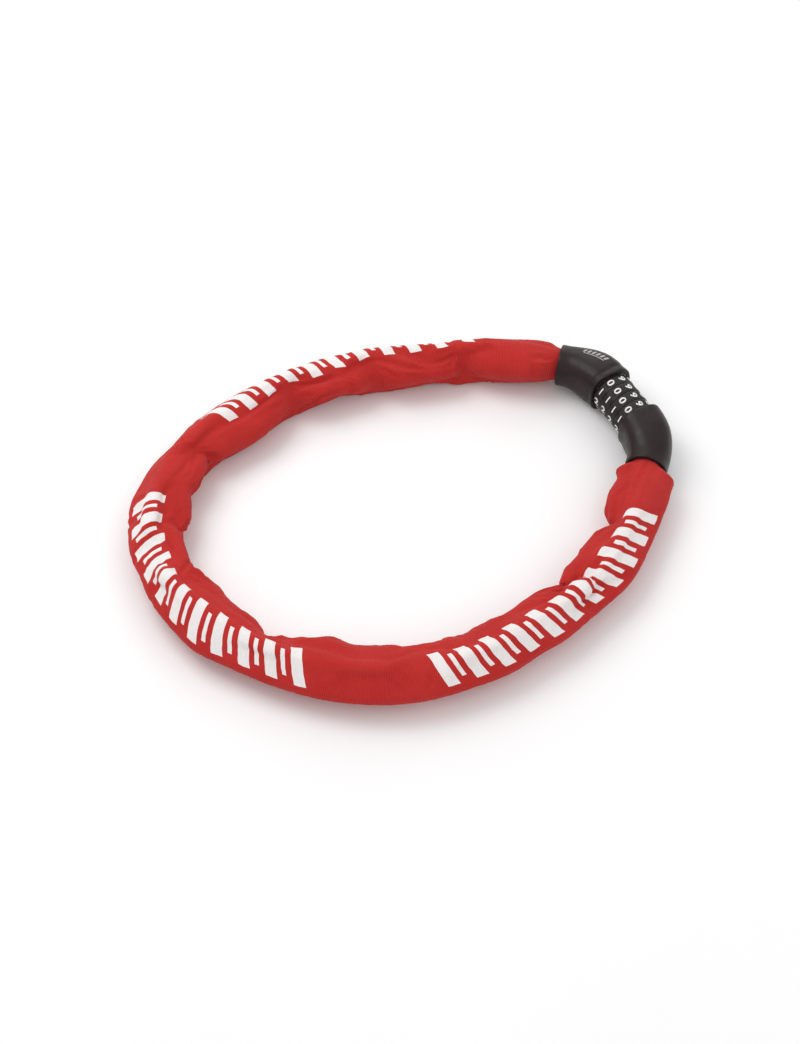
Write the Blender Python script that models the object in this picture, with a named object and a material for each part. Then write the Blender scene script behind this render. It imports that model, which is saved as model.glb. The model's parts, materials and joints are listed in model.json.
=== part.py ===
"""Chain lock: a sleeved steel chain closed into a ring by a combination barrel lock.

The lock stands on z = 0 in a ring. Its body and its plug are two curved housings that meet at
four number dials. The chain runs round the ring inside a woven sleeve, from a pin in the
body's fork to a pin in the plug's fork. Lengths are metres, +Z is up, and the front of the
ring is -Y.
"""

import math

import bmesh
import bpy
from mathutils import Matrix, Vector

# ---- driving dimensions ---------------------------------------------------------------------
AXIS_Z = 0.0150  # height of the barrel's axis and of the chain
GAP = 0.0003  # clearance between pieces that touch
CENTRE = (0.00273, -0.00044)  # taken off plan positions: the origin is under the box's middle

# The lock: a straight barrel between two housings that curve with the ring.
BARREL_CENTRE = (0.1405, 0.0802)
BARREL_ANGLE = math.radians(-61.0)  # from the body towards the plug
DIAL_COUNT = 4
DIAL_PITCH = 0.0078
DIAL_WIDTH = 0.0075
DIAL_RADIUS = 0.01325
DIAL_BORE = 0.0099
BARREL_HALF = DIAL_COUNT * DIAL_PITCH / 2
HOUSING_BEND = math.radians(46.0)
HOUSING_RADIUS = 0.042
HOUSING_MOUTH = 0.006  # straight stretch at the sleeve's end
HOUSING_LENGTH = HOUSING_BEND * HOUSING_RADIUS + HOUSING_MOUTH
RIM_HALF = (0.0148, 0.0154)  # half width and half height next to the dials
MOUTH_HALF = (0.0131, 0.0130)  # the same where the sleeve goes in
COVER_WALL = 0.0023
MOUTH_WALL = 0.0019
RIM_EDGE = 0.0009  # rounding of a cover's ends
SQUARENESS = 2.7  # superellipse exponent of a housing's section, 2 at its mouth

SPINDLE_RADIUS = 0.0065
SPINDLE_BORE = 0.0048
SPINDLE_DEPTH = 0.0120  # how far the spindle goes into the body's core
SPINDLE_END = 0.0060  # how far it stands out past the last dial
SLOT_WIDTH = 0.0036
TUMBLER_RADIUS = 0.0096
TUMBLER_SKIRT = 0.0090  # inner radius of a tumbler's thin skirt
TUMBLER_FLANGE = 0.0030  # thickness of its notched flange
BOLT_RADIUS = 0.0044
BOLT_TIP = 0.0019  # how far the bolt reaches into the body's core
BOLT_DEPTH = 0.0120  # how far it goes into the plug's core
TOOTH_REACH = 0.0086
TOOTH_WIDTH = 0.0028
TOOTH_LENGTH = 0.0024
COLLAR_RADIUS = 0.0108
COLLAR_LENGTH = 0.0038
PLUG_RECESS = 0.0070  # from the plug's rim to its core, room for the collar

# The chain: 8 mm wire, links a quarter turn apart, joined to a fork at each end by a pin.
WIRE_RADIUS = 0.0040
LINK_HALF_WIDTH = 0.0140
LINK_PLAY = 0.0016
LINK_COUNT = 23
LINK_TWIST = math.radians(15.0)  # twist from one link to the next near the ends
LINK_LEAN = math.radians(20.0)  # how far the links lean over between the ends
RUN_PIVOTS = (3, 7, 11, 15, 19, 23)  # the pivots that the chain's six runs of links turn on
PIN_RADIUS = 0.0030
PIN_HALF = 0.0076
PIN_REACH = 0.0125  # from a housing's mouth to the pin
NECK_RADIUS = 0.0079
FORK_SLOT = 0.0047  # half height of the slot that an end link lies in
FORK_TIP = 0.0055  # how far a fork reaches past its pin
PIN_PLAY = 0.0006
CORE_END = 0.0020  # from a core's end to the straight stretch of its housing
CLAMP_REACH = (-0.0050, -0.0008)  # where a sleeve clamp lies, from the mouth
CLAMP_WALL = 0.0007
WASHER_RADII = (0.0073, 0.0112)
WASHER_WAVE = 0.00025  # height of each of the washer's three waves
CLIP_RADIUS = 0.0082
CROSS_PIN_RADIUS = 0.0015
CROSS_PIN_HALF = 0.0100

# The chain's route in plan from the body's pin round to the plug's pin, which are its ends.
ROUTE = [
    (0.0690, 0.1208),
    (0.0450, 0.1185),
    (0.0200, 0.1155),
    (-0.0050, 0.1130),
    (-0.0300, 0.1080),
    (-0.0550, 0.0992),
    (-0.0800, 0.0850),
    (-0.1030, 0.0670),
    (-0.1225, 0.0465),
    (-0.1370, 0.0225),
    (-0.1450, -0.0040),
    (-0.1440, -0.0310),
    (-0.1340, -0.0560),
    (-0.1170, -0.0775),
    (-0.0950, -0.0955),
    (-0.0680, -0.1100),
    (-0.0380, -0.1190),
    (-0.0080, -0.1215),
    (0.0220, -0.1175),
    (0.0510, -0.1060),
    (0.0790, -0.0870),
    (0.1040, -0.0640),
    (0.1240, -0.0380),
    (0.1375, -0.0110),
]

SLEEVE_HALF = (0.0170, 0.0150)
SLEEVE_WALL = 0.0010
SLEEVE_CUTS = (0, 3, 5, 7, 9, 11, 13, 15, 17, 19, 21, 23)  # pivots between stretches of the sleeve
SLEEVE_TUCK = 0.0050  # how far the sleeve goes into each mouth
SLEEVE_END_RADIUS = 0.0102
# Where the sleeve widens past a mouth: distance from the mouth, and how much of the way it is.
SLEEVE_FLARE = ((-SLEEVE_TUCK, 0.0), (0.0006, 0.0), (0.0042, 0.5), (0.0100, 0.9))

UP = Vector((0, 0, 1))


# ---- plan geometry --------------------------------------------------------------------------
def in_plan(x, y, z=AXIS_Z):
    """A point of the plan in the part's own frame."""
    return Vector((x - CENTRE[0], y - CENTRE[1], z))


def direction(angle):
    return Vector((math.cos(angle), math.sin(angle), 0))


def lock_frame(s):
    """Point and heading on the lock's centreline, s metres from the barrel's middle to the plug."""
    point = in_plan(*BARREL_CENTRE)
    sign = 1 if s > 0 else -1
    rest = abs(s)
    heading = BARREL_ANGLE
    straight = min(rest, BARREL_HALF)
    point = point + sign * straight * direction(heading)
    rest -= straight
    # both housings turn clockwise seen from above, going from the body to the plug
    bend = min(rest / HOUSING_RADIUS, HOUSING_BEND)
    after = heading - sign * bend
    if bend > 0:
        side = Vector((math.sin(heading), -math.cos(heading), 0))
        side_after = Vector((math.sin(after), -math.cos(after), 0))
        point = point + HOUSING_RADIUS * (side - side_after)
    rest -= bend * HOUSING_RADIUS
    point = point + sign * max(rest, 0) * direction(after)
    return point, after


def frame_matrix(point, heading):
    """Matrix whose x axis runs along the heading, with z up."""
    return Matrix.Translation(point) @ Matrix.Rotation(heading, 4, "Z")


def barrel_matrix():
    return frame_matrix(*lock_frame(0))


def mouth_frame(sign):
    """The mouth of the body (-1) or of the plug (+1), with x pointing out of it."""
    point, heading = lock_frame(sign * (BARREL_HALF + HOUSING_LENGTH))
    return point, heading if sign > 0 else heading + math.pi


def pin_point(sign):
    point, heading = mouth_frame(sign)
    return point + PIN_REACH * direction(heading)


def catmull_rom(p0, p1, p2, p3, t):
    """A point on the smooth curve between p1 and p2."""
    return 0.5 * (
        2 * p1
        + (p2 - p0) * t
        + (2 * p0 - 5 * p1 + 4 * p2 - p3) * t**2
        + (3 * p1 - p0 - 3 * p2 + p3) * t**3
    )


def chain_route(steps=24):
    """The chain's route as a fine polyline, from the body's pin to the plug's pin."""
    body_mouth, plug_mouth = mouth_frame(-1)[0], mouth_frame(1)[0]
    knots = [body_mouth, pin_point(-1)]
    knots += [in_plan(x, y) for x, y in ROUTE]
    knots += [pin_point(1), plug_mouth]
    points = []
    for i in range(1, len(knots) - 2):
        for step in range(steps):
            points.append(catmull_rom(*knots[i - 1 : i + 3], step / steps))
    points.append(knots[-2])
    return points


def next_on_route(points, start, at, reach):
    """The first point of the route past index `at` that lies `reach` from start."""
    for i in range(at, len(points) - 1):
        if (points[i + 1] - start).length >= reach:
            low, high = 0.0, 1.0
            for _ in range(50):
                middle = (low + high) / 2
                if (points[i].lerp(points[i + 1], middle) - start).length < reach:
                    low = middle
                else:
                    high = middle
            return points[i].lerp(points[i + 1], low), i
    return None, len(points) - 1


def link_spacing(number, pitch):
    """Distance between a link's two pivots. An end link turns on its pin, which fills part of it."""
    at_end = number in (1, LINK_COUNT)
    return pitch - (PIN_RADIUS + PIN_PLAY - LINK_PLAY / 2 if at_end else 0)


def march(points, pitch):
    """The pivots that links of this pitch reach along the route, and what is left for the last."""
    pivots, at = [points[0]], 0
    for number in range(1, LINK_COUNT):
        pivot, at = next_on_route(points, pivots[-1], at, link_spacing(number, pitch))
        if pivot is None:
            return pivots, -1.0
        pivots.append(pivot)
    left = (points[-1] - pivots[-1]).length - link_spacing(LINK_COUNT, pitch)
    return pivots + [points[-1]], left


def chain_pivots():
    """The pivots of the chain from the body's pin to the plug's pin, and the chain's pitch."""
    points = chain_route()
    low, high = 0.020, 0.050
    for _ in range(60):
        pitch = (low + high) / 2
        if march(points, pitch)[1] > 0:
            low = pitch
        else:
            high = pitch
    return march(points, low)[0], low


# ---- mesh helpers ---------------------------------------------------------------------------
def material(name, colour, roughness, metallic):
    made = bpy.data.materials.get(name)
    if made is None:
        made = bpy.data.materials.new(name)
        made.use_nodes = True
        shader = made.node_tree.nodes["Principled BSDF"]
        shader.inputs["Base Color"].default_value = (*colour, 1)
        shader.inputs["Roughness"].default_value = roughness
        shader.inputs["Metallic"].default_value = metallic
    return made


def moulded_black():
    return material("moulded_black", (0.042, 0.031, 0.028), 0.38, 0.0)


def die_cast_zinc():
    return material("die_cast_zinc", (0.42, 0.42, 0.43), 0.45, 1.0)


def plated_steel():
    return material("plated_steel", (0.60, 0.59, 0.57), 0.30, 1.0)


def tumbler_brass():
    return material("tumbler_brass", (0.68, 0.50, 0.22), 0.35, 1.0)


def spring_steel():
    return material("spring_steel", (0.34, 0.35, 0.37), 0.35, 1.0)


def chain_steel():
    return material("chain_steel", (0.36, 0.36, 0.37), 0.40, 1.0)


def dial_black():
    return material("dial_black", (0.020, 0.018, 0.018), 0.45, 0.0)


def red_weave():
    return material("red_weave", (0.48, 0.038, 0.034), 0.85, 0.0)


def add_object(name, bm, look, origin, smooth=True):
    """A named object from a bmesh in world coordinates, with its origin on its joint's axis."""
    bmesh.ops.remove_doubles(bm, verts=bm.verts, dist=1e-6)
    bmesh.ops.recalc_face_normals(bm, faces=bm.faces)
    bmesh.ops.translate(bm, verts=bm.verts, vec=-Vector(origin))
    mesh = bpy.data.meshes.new(name)
    bm.to_mesh(mesh)
    bm.free()
    mesh.materials.append(look)
    made = bpy.data.objects.new(name, mesh)
    made.location = origin
    bpy.context.scene.collection.objects.link(made)
    if smooth:
        mesh.shade_smooth()
        mesh.set_sharp_from_angle(angle=math.radians(35))
    return made


def combine(target, other, operation):
    """Unites a guide with the target or cuts it out of it. The guide stays as a hidden wire."""
    other.hide_render = True
    other.display_type = "WIRE"
    modifier = target.modifiers.new(other.name, "BOOLEAN")
    modifier.operation = operation
    modifier.solver = "EXACT"
    modifier.object = other
    return target


def cut(target, *guides):
    for guide in guides:
        combine(target, guide, "DIFFERENCE")


def unite(target, *guides):
    for guide in guides:
        combine(target, guide, "UNION")


def grid_faces(bm, rings, close_rings):
    """Quads between consecutive rings of vertices; close_rings joins the last ring to the first."""
    pairs = list(zip(rings, rings[1:]))
    if close_rings:
        pairs.append((rings[-1], rings[0]))
    for ring, after in pairs:
        count = len(ring)
        for i in range(count):
            j = (i + 1) % count
            bm.faces.new((ring[i], ring[j], after[j], after[i]))


def turned(profile, matrix, segments, bore=True, wave=None):
    """A body turned about the matrix's x axis from (x, radius) points.

    With a bore the profile is a closed loop away from the axis. Without one it is an open
    line, and a flat face closes each end. wave(angle) moves each point along the axis.
    """
    bm = bmesh.new()
    rings = []
    for x, radius in profile:
        ring = []
        for i in range(segments):
            angle = 2 * math.pi * i / segments
            shift = wave(angle) if wave else 0
            at = Vector((x + shift, radius * math.cos(angle), radius * math.sin(angle)))
            ring.append(bm.verts.new(matrix @ at))
        rings.append(ring)
    grid_faces(bm, rings, close_rings=bore)
    if not bore:
        bm.faces.new(rings[0])
        bm.faces.new(rings[-1])
    return bm


def box(matrix, low, high):
    """A box between two corners in the matrix's frame."""
    bm = bmesh.new()
    size = [b - a for a, b in zip(low, high)]
    middle = [(a + b) / 2 for a, b in zip(low, high)]
    place = matrix @ Matrix.Translation(middle) @ Matrix.Diagonal((*size, 1))
    bmesh.ops.create_cube(bm, size=1, matrix=place)
    return bm


def rod(matrix, x_from, x_to, radius, segments, chamfer=0.0):
    """A round bar along the matrix's x axis."""
    profile = [(x_from, radius), (x_to, radius)]
    if chamfer:
        profile = [
            (x_from, radius - chamfer),
            (x_from + chamfer, radius),
            (x_to - chamfer, radius),
            (x_to, radius - chamfer),
        ]
    return turned(profile, matrix, segments, bore=False)


def washer_profile(x_from, x_to, inner, outer, chamfer=0.0):
    """Closed loop of a ring between two radii, with its outer corners chamfered."""
    if not chamfer:
        return [(x_from, inner), (x_from, outer), (x_to, outer), (x_to, inner)]
    return [
        (x_from, inner),
        (x_from, outer - chamfer),
        (x_from + chamfer, outer),
        (x_to - chamfer, outer),
        (x_to, outer - chamfer),
        (x_to, inner),
    ]


def guide(name, bm):
    """A cutter or an added shape that isn't a piece of its own."""
    return add_object(name, bm, plated_steel(), (0, 0, 0), smooth=False)


# ---- housings -------------------------------------------------------------------------------
def smoothstep(t):
    t = min(max(t, 0.0), 1.0)
    return t * t * (3 - 2 * t)


def housing_half(distance):
    """Half width, half height and section exponent, `distance` from the rim to the mouth."""
    t = smoothstep((distance / HOUSING_LENGTH - 0.30) / 0.60)
    half = [rim + (mouth - rim) * t for rim, mouth in zip(RIM_HALF, MOUTH_HALF)]
    return half[0], half[1], SQUARENESS + (2.0 - SQUARENESS) * t


def superellipse(half_width, half_height, exponent, count):
    """Points round a section, spaced evenly by angle."""
    points = []
    for i in range(count):
        angle = 2 * math.pi * (i + 0.5) / count
        c, s = math.cos(angle), math.sin(angle)
        reach = (abs(c / half_width) ** exponent + abs(s / half_height) ** exponent) ** (
            -1 / exponent
        )
        points.append((reach * c, reach * s))
    return points


def section_ring(bm, point, heading, half_width, half_height, exponent, count):
    """A ring of vertices across the centreline, never lower than the floor."""
    side = Vector((-math.sin(heading), math.cos(heading), 0))
    ring = []
    for across, up in superellipse(half_width, half_height, exponent, count):
        at = point + across * side + up * UP
        at.z = max(at.z, 0.0)
        ring.append(bm.verts.new(at))
    return ring


def housing_rings(bm, sign, stations, shrink_of, count=24):
    """Rings of one housing. Each station is a distance from the rim; shrink_of gives the wall."""
    rings = []
    for distance in stations:
        point, heading = lock_frame(sign * (BARREL_HALF + distance))
        width, height, exponent = housing_half(distance)
        shrink = shrink_of(distance)
        rings.append(
            section_ring(bm, point, heading, width - shrink, height - shrink, exponent, count)
        )
    return rings


def spread(start, stop, count):
    return [start + (stop - start) * i / (count - 1) for i in range(count)]


def cover_wall(distance):
    return COVER_WALL + (MOUTH_WALL - COVER_WALL) * smoothstep(
        (distance / HOUSING_LENGTH - 0.5) / 0.4
    )


def housing_cover(name, sign):
    """A moulded shell, open at both ends, with rounded end edges."""
    start, stop = GAP, HOUSING_LENGTH
    bm = bmesh.new()
    edge = RIM_EDGE
    outer = housing_rings(bm, sign, [start], lambda d: edge)
    outer += housing_rings(bm, sign, spread(start + edge, stop - edge, 9), lambda d: 0.0)
    outer += housing_rings(bm, sign, [stop], lambda d: edge)
    inner = housing_rings(bm, sign, spread(stop, start, 7), cover_wall)
    grid_faces(bm, outer + inner, close_rings=True)
    return add_object(name, bm, moulded_black(), lock_frame(sign * BARREL_HALF)[0])


def housing_core(name, sign, face):
    """The die-cast block inside a cover, from `face` behind the rim to short of the mouth."""
    bm = bmesh.new()
    stations = spread(face, HOUSING_LENGTH - HOUSING_MOUTH - CORE_END, 6)
    rings = housing_rings(bm, sign, stations, lambda d: cover_wall(d) + GAP)
    grid_faces(bm, rings, close_rings=False)
    bm.faces.new(rings[0])
    bm.faces.new(rings[-1])
    core = add_object(name, bm, die_cast_zinc(), lock_frame(sign * BARREL_HALF)[0])
    point, heading = mouth_frame(sign)
    mouth = frame_matrix(point, heading)
    neck = rod(mouth, -HOUSING_MOUTH - 0.006, PIN_REACH + FORK_TIP, NECK_RADIUS, 24, 0.0008)
    unite(core, guide(name + "_neck", neck))
    slot_from = PIN_REACH - PIN_RADIUS - PIN_PLAY - 2 * WIRE_RADIUS - 0.001
    slot = box(
        mouth,
        (slot_from, -0.020, -FORK_SLOT),
        (PIN_REACH + FORK_TIP + 0.002, 0.020, FORK_SLOT),
    )
    cut(core, guide(name + "_slot", slot))
    hole_at = frame_matrix(pin_point(sign), 0) @ Matrix.Rotation(-math.pi / 2, 4, "Y")
    hole = rod(hole_at, -0.012, 0.012, PIN_RADIUS + GAP, 16)
    cut(core, guide(name + "_pin_hole", hole))
    return core


def chain_pin(name, sign):
    at = frame_matrix(pin_point(sign), 0) @ Matrix.Rotation(-math.pi / 2, 4, "Y")
    bm = rod(at, -PIN_HALF, PIN_HALF, PIN_RADIUS, 16, 0.0006)
    return add_object(name, bm, plated_steel(), pin_point(sign))


def sleeve_clamp(name, sign):
    """A ring crimped inside the sleeve's end, round the core's neck."""
    point, heading = mouth_frame(sign)
    profile = washer_profile(*CLAMP_REACH, NECK_RADIUS + GAP, NECK_RADIUS + GAP + CLAMP_WALL)
    bm = turned(profile, frame_matrix(point, heading), 28)
    return add_object(name, bm, plated_steel(), point)


# ---- barrel ---------------------------------------------------------------------------------
def dial_start(number):
    """Where dial 1 to 4 starts along the barrel's axis."""
    return -BARREL_HALF + (number - 1) * DIAL_PITCH + (DIAL_PITCH - DIAL_WIDTH) / 2


def slot_guide(name, x_from, x_to, reach, width=SLOT_WIDTH):
    """A straight slot along the top of the barrel, out to the given radius."""
    low = (x_from, -width / 2, 0.0)
    return guide(name, box(barrel_matrix(), low, (x_to, width / 2, reach)))


def dial(number):
    start = dial_start(number)
    profile = washer_profile(start, start + DIAL_WIDTH, DIAL_BORE, DIAL_RADIUS, 0.0006)
    bm = turned(profile, barrel_matrix(), 30)
    return add_object(f"dial_{number}", bm, dial_black(), lock_frame(0)[0])


def tumbler(number):
    """The ring inside a dial: a thin skirt, and a flange whose notch lets a bolt tooth by."""
    start = dial_start(number)
    stop = start + DIAL_WIDTH
    bore = SPINDLE_RADIUS + GAP
    profile = [
        (start, TUMBLER_SKIRT),
        (start, TUMBLER_RADIUS),
        (stop, TUMBLER_RADIUS),
        (stop, bore),
        (stop - TUMBLER_FLANGE, bore),
        (stop - TUMBLER_FLANGE, TUMBLER_SKIRT),
    ]
    bm = turned(profile, barrel_matrix(), 28)
    name = f"tumbler_{number}"
    ring = add_object(name, bm, tumbler_brass(), lock_frame(0)[0])
    cut(ring, slot_guide(name + "_notch", start + 0.002, stop + 0.002, TUMBLER_SKIRT))
    return ring


def spindle():
    """The slotted tube that the dials turn on, with a groove for the click spring below."""
    end = BARREL_HALF + SPINDLE_END
    groove_from, groove_to = end - 0.0017, end - 0.0007
    profile = [
        (-BARREL_HALF - SPINDLE_DEPTH, SPINDLE_BORE),
        (-BARREL_HALF - SPINDLE_DEPTH, SPINDLE_RADIUS),
        (groove_from, SPINDLE_RADIUS),
        (groove_from, SPINDLE_RADIUS - 0.0006),
        (groove_to, SPINDLE_RADIUS - 0.0006),
        (groove_to, SPINDLE_RADIUS),
        (end, SPINDLE_RADIUS),
        (end, SPINDLE_BORE),
    ]
    tube = add_object(
        "spindle", turned(profile, barrel_matrix(), 28), plated_steel(), lock_frame(0)[0]
    )
    cut(tube, slot_guide("spindle_slot", -BARREL_HALF, end + 0.002, 0.010))
    low = (-BARREL_HALF + 0.0004, -0.0015, -0.010)
    high = (BARREL_HALF - 0.0004, 0.0015, -SPINDLE_RADIUS + 0.0010)
    cut(tube, guide("spindle_groove", box(barrel_matrix(), low, high)))
    return tube


def click_spring():
    """A leaf along the spindle's groove with a raised finger under each dial."""
    top, bottom = -SPINDLE_RADIUS + 0.0008, -SPINDLE_RADIUS + 0.0004
    crest = -SPINDLE_RADIUS + 0.0001
    line = [(-BARREL_HALF + 0.0008, bottom)]
    for number in range(1, DIAL_COUNT + 1):
        middle = dial_start(number) + DIAL_WIDTH / 2
        line += [(middle - 0.0016, bottom), (middle, crest), (middle + 0.0016, bottom)]
    line.append((BARREL_HALF - 0.0008, bottom))
    thickness = top - bottom
    bm = bmesh.new()
    matrix = barrel_matrix()
    rings = []
    for x, z in line:
        corners = [(-0.0011, z), (0.0011, z), (0.0011, z + thickness), (-0.0011, z + thickness)]
        rings.append([bm.verts.new(matrix @ Vector((x, y, up))) for y, up in corners])
    grid_faces(bm, rings, close_rings=False)
    bm.faces.new(rings[0])
    bm.faces.new(rings[-1])
    return add_object("click_spring", bm, spring_steel(), lock_frame(0)[0], smooth=False)


def dial_washer():
    """A three-wave spring washer that presses the dials together."""
    middle = -BARREL_HALF - 0.0010
    profile = washer_profile(middle - 0.0002, middle + 0.0002, *WASHER_RADII)
    bm = turned(profile, barrel_matrix(), 36, wave=lambda a: WASHER_WAVE * math.cos(3 * a))
    return add_object("dial_washer", bm, spring_steel(), lock_frame(0)[0])


def reset_collar():
    start = BARREL_HALF + GAP
    profile = washer_profile(
        start, start + COLLAR_LENGTH, SPINDLE_RADIUS + GAP, COLLAR_RADIUS, 0.0006
    )
    collar = add_object(
        "reset_collar", turned(profile, barrel_matrix(), 32), plated_steel(), lock_frame(0)[0]
    )
    cut(
        collar,
        slot_guide("collar_notch", start - 0.002, start + COLLAR_LENGTH + 0.002, TUMBLER_SKIRT),
    )
    return collar


def collar_clip():
    """A snap ring in the spindle's end groove, open at the top for the bolt's teeth."""
    end = BARREL_HALF + SPINDLE_END
    profile = washer_profile(end - 0.0015, end - 0.0009, SPINDLE_RADIUS - 0.0004, CLIP_RADIUS)
    clip = add_object(
        "collar_clip", turned(profile, barrel_matrix(), 28), spring_steel(), lock_frame(0)[0]
    )
    cut(clip, slot_guide("clip_opening", end - 0.004, end + 0.002, 0.012, width=0.0060))
    return clip


def cross_pin_matrix():
    """Matrix whose x axis is the upright axis of the pin that holds the bolt in its core."""
    along = BARREL_HALF + PLUG_RECESS + BOLT_DEPTH * 0.55
    at = barrel_matrix() @ Matrix.Translation((along, 0, 0))
    return at @ Matrix.Rotation(-math.pi / 2, 4, "Y")


def bolt():
    """The toothed bar of the plug. Each tooth sits behind a tumbler's flange when locked."""
    matrix = barrel_matrix()
    end = BARREL_HALF + PLUG_RECESS + BOLT_DEPTH
    origin = lock_frame(BARREL_HALF)[0]
    bar = add_object(
        "bolt",
        rod(matrix, -BARREL_HALF - BOLT_TIP, end, BOLT_RADIUS, 20, 0.0010),
        plated_steel(),
        origin,
    )
    for number in range(1, DIAL_COUNT + 1):
        start = dial_start(number) + 0.0010
        low = (start, -TOOTH_WIDTH / 2, 0.001)
        high = (start + TOOTH_LENGTH, TOOTH_WIDTH / 2, TOOTH_REACH)
        unite(bar, guide(f"bolt_tooth_{number}", box(matrix, low, high)))
    hole = rod(cross_pin_matrix(), -0.02, 0.02, CROSS_PIN_RADIUS + GAP, 12)
    cut(bar, guide("bolt_cross_hole", hole))
    return bar


def bolt_pin():
    bm = rod(cross_pin_matrix(), -CROSS_PIN_HALF, CROSS_PIN_HALF, CROSS_PIN_RADIUS, 12, 0.0003)
    return add_object("bolt_pin", bm, plated_steel(), lock_frame(BARREL_HALF)[0])


def body_core():
    core = housing_core("body_core", -1, 0.0004)
    matrix = barrel_matrix()
    deep = -BARREL_HALF - SPINDLE_DEPTH - GAP
    bore = rod(matrix, deep, 0, SPINDLE_RADIUS + GAP, 28)
    cut(core, guide("body_core_bore", bore))
    recess = rod(matrix, -BARREL_HALF - 0.0018, 0, 0.0116, 32)
    cut(core, guide("body_core_recess", recess))
    return core


def plug_core():
    core = housing_core("plug_core", 1, PLUG_RECESS)
    matrix = barrel_matrix()
    deep = BARREL_HALF + PLUG_RECESS + BOLT_DEPTH + GAP
    cut(core, guide("plug_core_bore", rod(matrix, 0, deep, BOLT_RADIUS + GAP, 20)))
    reach = CROSS_PIN_HALF + GAP
    hole = rod(cross_pin_matrix(), -reach, reach, CROSS_PIN_RADIUS + GAP, 12)
    cut(core, guide("plug_core_cross_hole", hole))
    return core


# ---- chain ----------------------------------------------------------------------------------
def link_roll(number):
    """A link's turn about its own length. The chain twists near its ends and leans over between."""
    from_end = min(number - 1, LINK_COUNT - number)
    twist = min(LINK_TWIST * from_end, LINK_LEAN)
    quarter = math.pi / 2 if number % 2 == 0 else 0.0
    return quarter + twist


def run_pivot(number):
    """The pivot that link `number` turns on with its run."""
    return min(pivot for pivot in RUN_PIVOTS if pivot >= number)


def link_mesh(half_length):
    """A stadium of round wire in the xy plane, its centreline reaching half_length each way."""
    bend = LINK_HALF_WIDTH - WIRE_RADIUS
    straight = half_length - bend
    steps, sides = 5, 8
    line = []
    for end in (0, 1):
        for step in range(steps + 1):
            angle = -math.pi / 2 + math.pi * step / steps + math.pi * end
            centre = Vector((straight if end == 0 else -straight, 0, 0))
            outward = direction(angle)
            line.append((centre + bend * outward, outward))
    bm = bmesh.new()
    rings = []
    for point, outward in line:
        ring = []
        for side in range(sides):
            angle = 2 * math.pi * (side + 0.5) / sides
            offset = math.cos(angle) * outward + math.sin(angle) * UP
            ring.append(bm.verts.new(point + WIRE_RADIUS * offset))
        rings.append(ring)
    grid_faces(bm, rings, close_rings=True)
    return bm


def past_pivot(on_pin):
    """How far the middle of a link's wire reaches past its pivot on a pin or on another link."""
    return WIRE_RADIUS + (PIN_RADIUS + PIN_PLAY if on_pin else LINK_PLAY / 2)


def chain_link(number, pivots):
    """One link between two pivots, its origin on the pivot that its run turns on."""
    start, stop = pivots[number - 1], pivots[number]
    ahead = (stop - start).normalized()
    first = start - past_pivot(number == 1) * ahead
    last = stop + past_pivot(number == LINK_COUNT) * ahead
    heading = math.atan2(ahead.y, ahead.x)
    bm = link_mesh((last - first).length / 2)
    place = frame_matrix((first + last) / 2, heading)
    place = place @ Matrix.Rotation(link_roll(number), 4, "X")
    bmesh.ops.transform(bm, matrix=place, verts=bm.verts)
    return add_object(f"link_{number:02d}", bm, chain_steel(), pivots[run_pivot(number)])


# ---- sleeve ---------------------------------------------------------------------------------
def ellipse_ring(bm, point, heading, half_width, half_height, count=16):
    """A ring across the sleeve, with a point at its very top and bottom."""
    side = Vector((-math.sin(heading), math.cos(heading), 0))
    ring = []
    for i in range(count):
        angle = 2 * math.pi * i / count
        at = point + half_width * math.cos(angle) * side + half_height * math.sin(angle) * UP
        ring.append(bm.verts.new(at))
    return ring


def sleeve_stations(pivots, pitch):
    """Stations along the sleeve: (place in links, point, heading, half width, half height)."""
    stations = []
    for sign, place in ((-1, 0), (1, LINK_COUNT)):
        point, out = mouth_frame(sign)
        heading = out if sign < 0 else out + math.pi
        for distance, t in SLEEVE_FLARE:
            half = [SLEEVE_END_RADIUS + (full - SLEEVE_END_RADIUS) * t for full in SLEEVE_HALF]
            before_pin = sign * (PIN_REACH - distance) / pitch
            at = point + distance * direction(out)
            stations.append((place + before_pin, at, heading, *half))
    for number in range(1, LINK_COUNT + 1):
        start, stop = pivots[number - 1], pivots[number]
        heading = math.atan2((stop - start).y, (stop - start).x)
        stations.append((number - 0.5, (start + stop) / 2, heading, *SLEEVE_HALF))
        if number < LINK_COUNT:
            after = pivots[number + 1] - stop
            turn = math.atan2(after.y, after.x) - heading
            turn = (turn + math.pi) % (2 * math.pi) - math.pi
            stations.append((number, stop, heading + turn / 2, *SLEEVE_HALF))
    return sorted(stations)


def sleeve_segment(number, stations, pivots):
    """One stretch of the sleeve as a tube between two pivots, carried by the links inside it."""
    last = len(SLEEVE_CUTS) - 1
    start, stop = SLEEVE_CUTS[number - 1], SLEEVE_CUTS[number]
    origin = pivots[run_pivot(stop)]
    if number == 1:
        start = -1.0
    if number == last:
        stop = LINK_COUNT + 1.0
    chosen = [s for s in stations if start - 1e-6 < s[0] < stop + 1e-6]
    bm = bmesh.new()
    outer, inner = [], []
    for i, (_, point, heading, width, height) in enumerate(chosen):
        # neighbours stay a gap apart where they are cut
        trim = 0.0
        if i == 0 and number > 1:
            trim = GAP / 2
        if i == len(chosen) - 1 and number < last:
            trim = -GAP / 2
        at = point + trim * direction(heading)
        outer.append(ellipse_ring(bm, at, heading, width, height))
        inner.append(ellipse_ring(bm, at, heading, width - SLEEVE_WALL, height - SLEEVE_WALL))
    grid_faces(bm, outer + inner[::-1], close_rings=True)
    return add_object(f"sleeve_{number:02d}", bm, red_weave(), origin)


# ---- assembly -------------------------------------------------------------------------------
def clear_scene():
    for old in list(bpy.data.objects):
        bpy.data.objects.remove(old)


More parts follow.
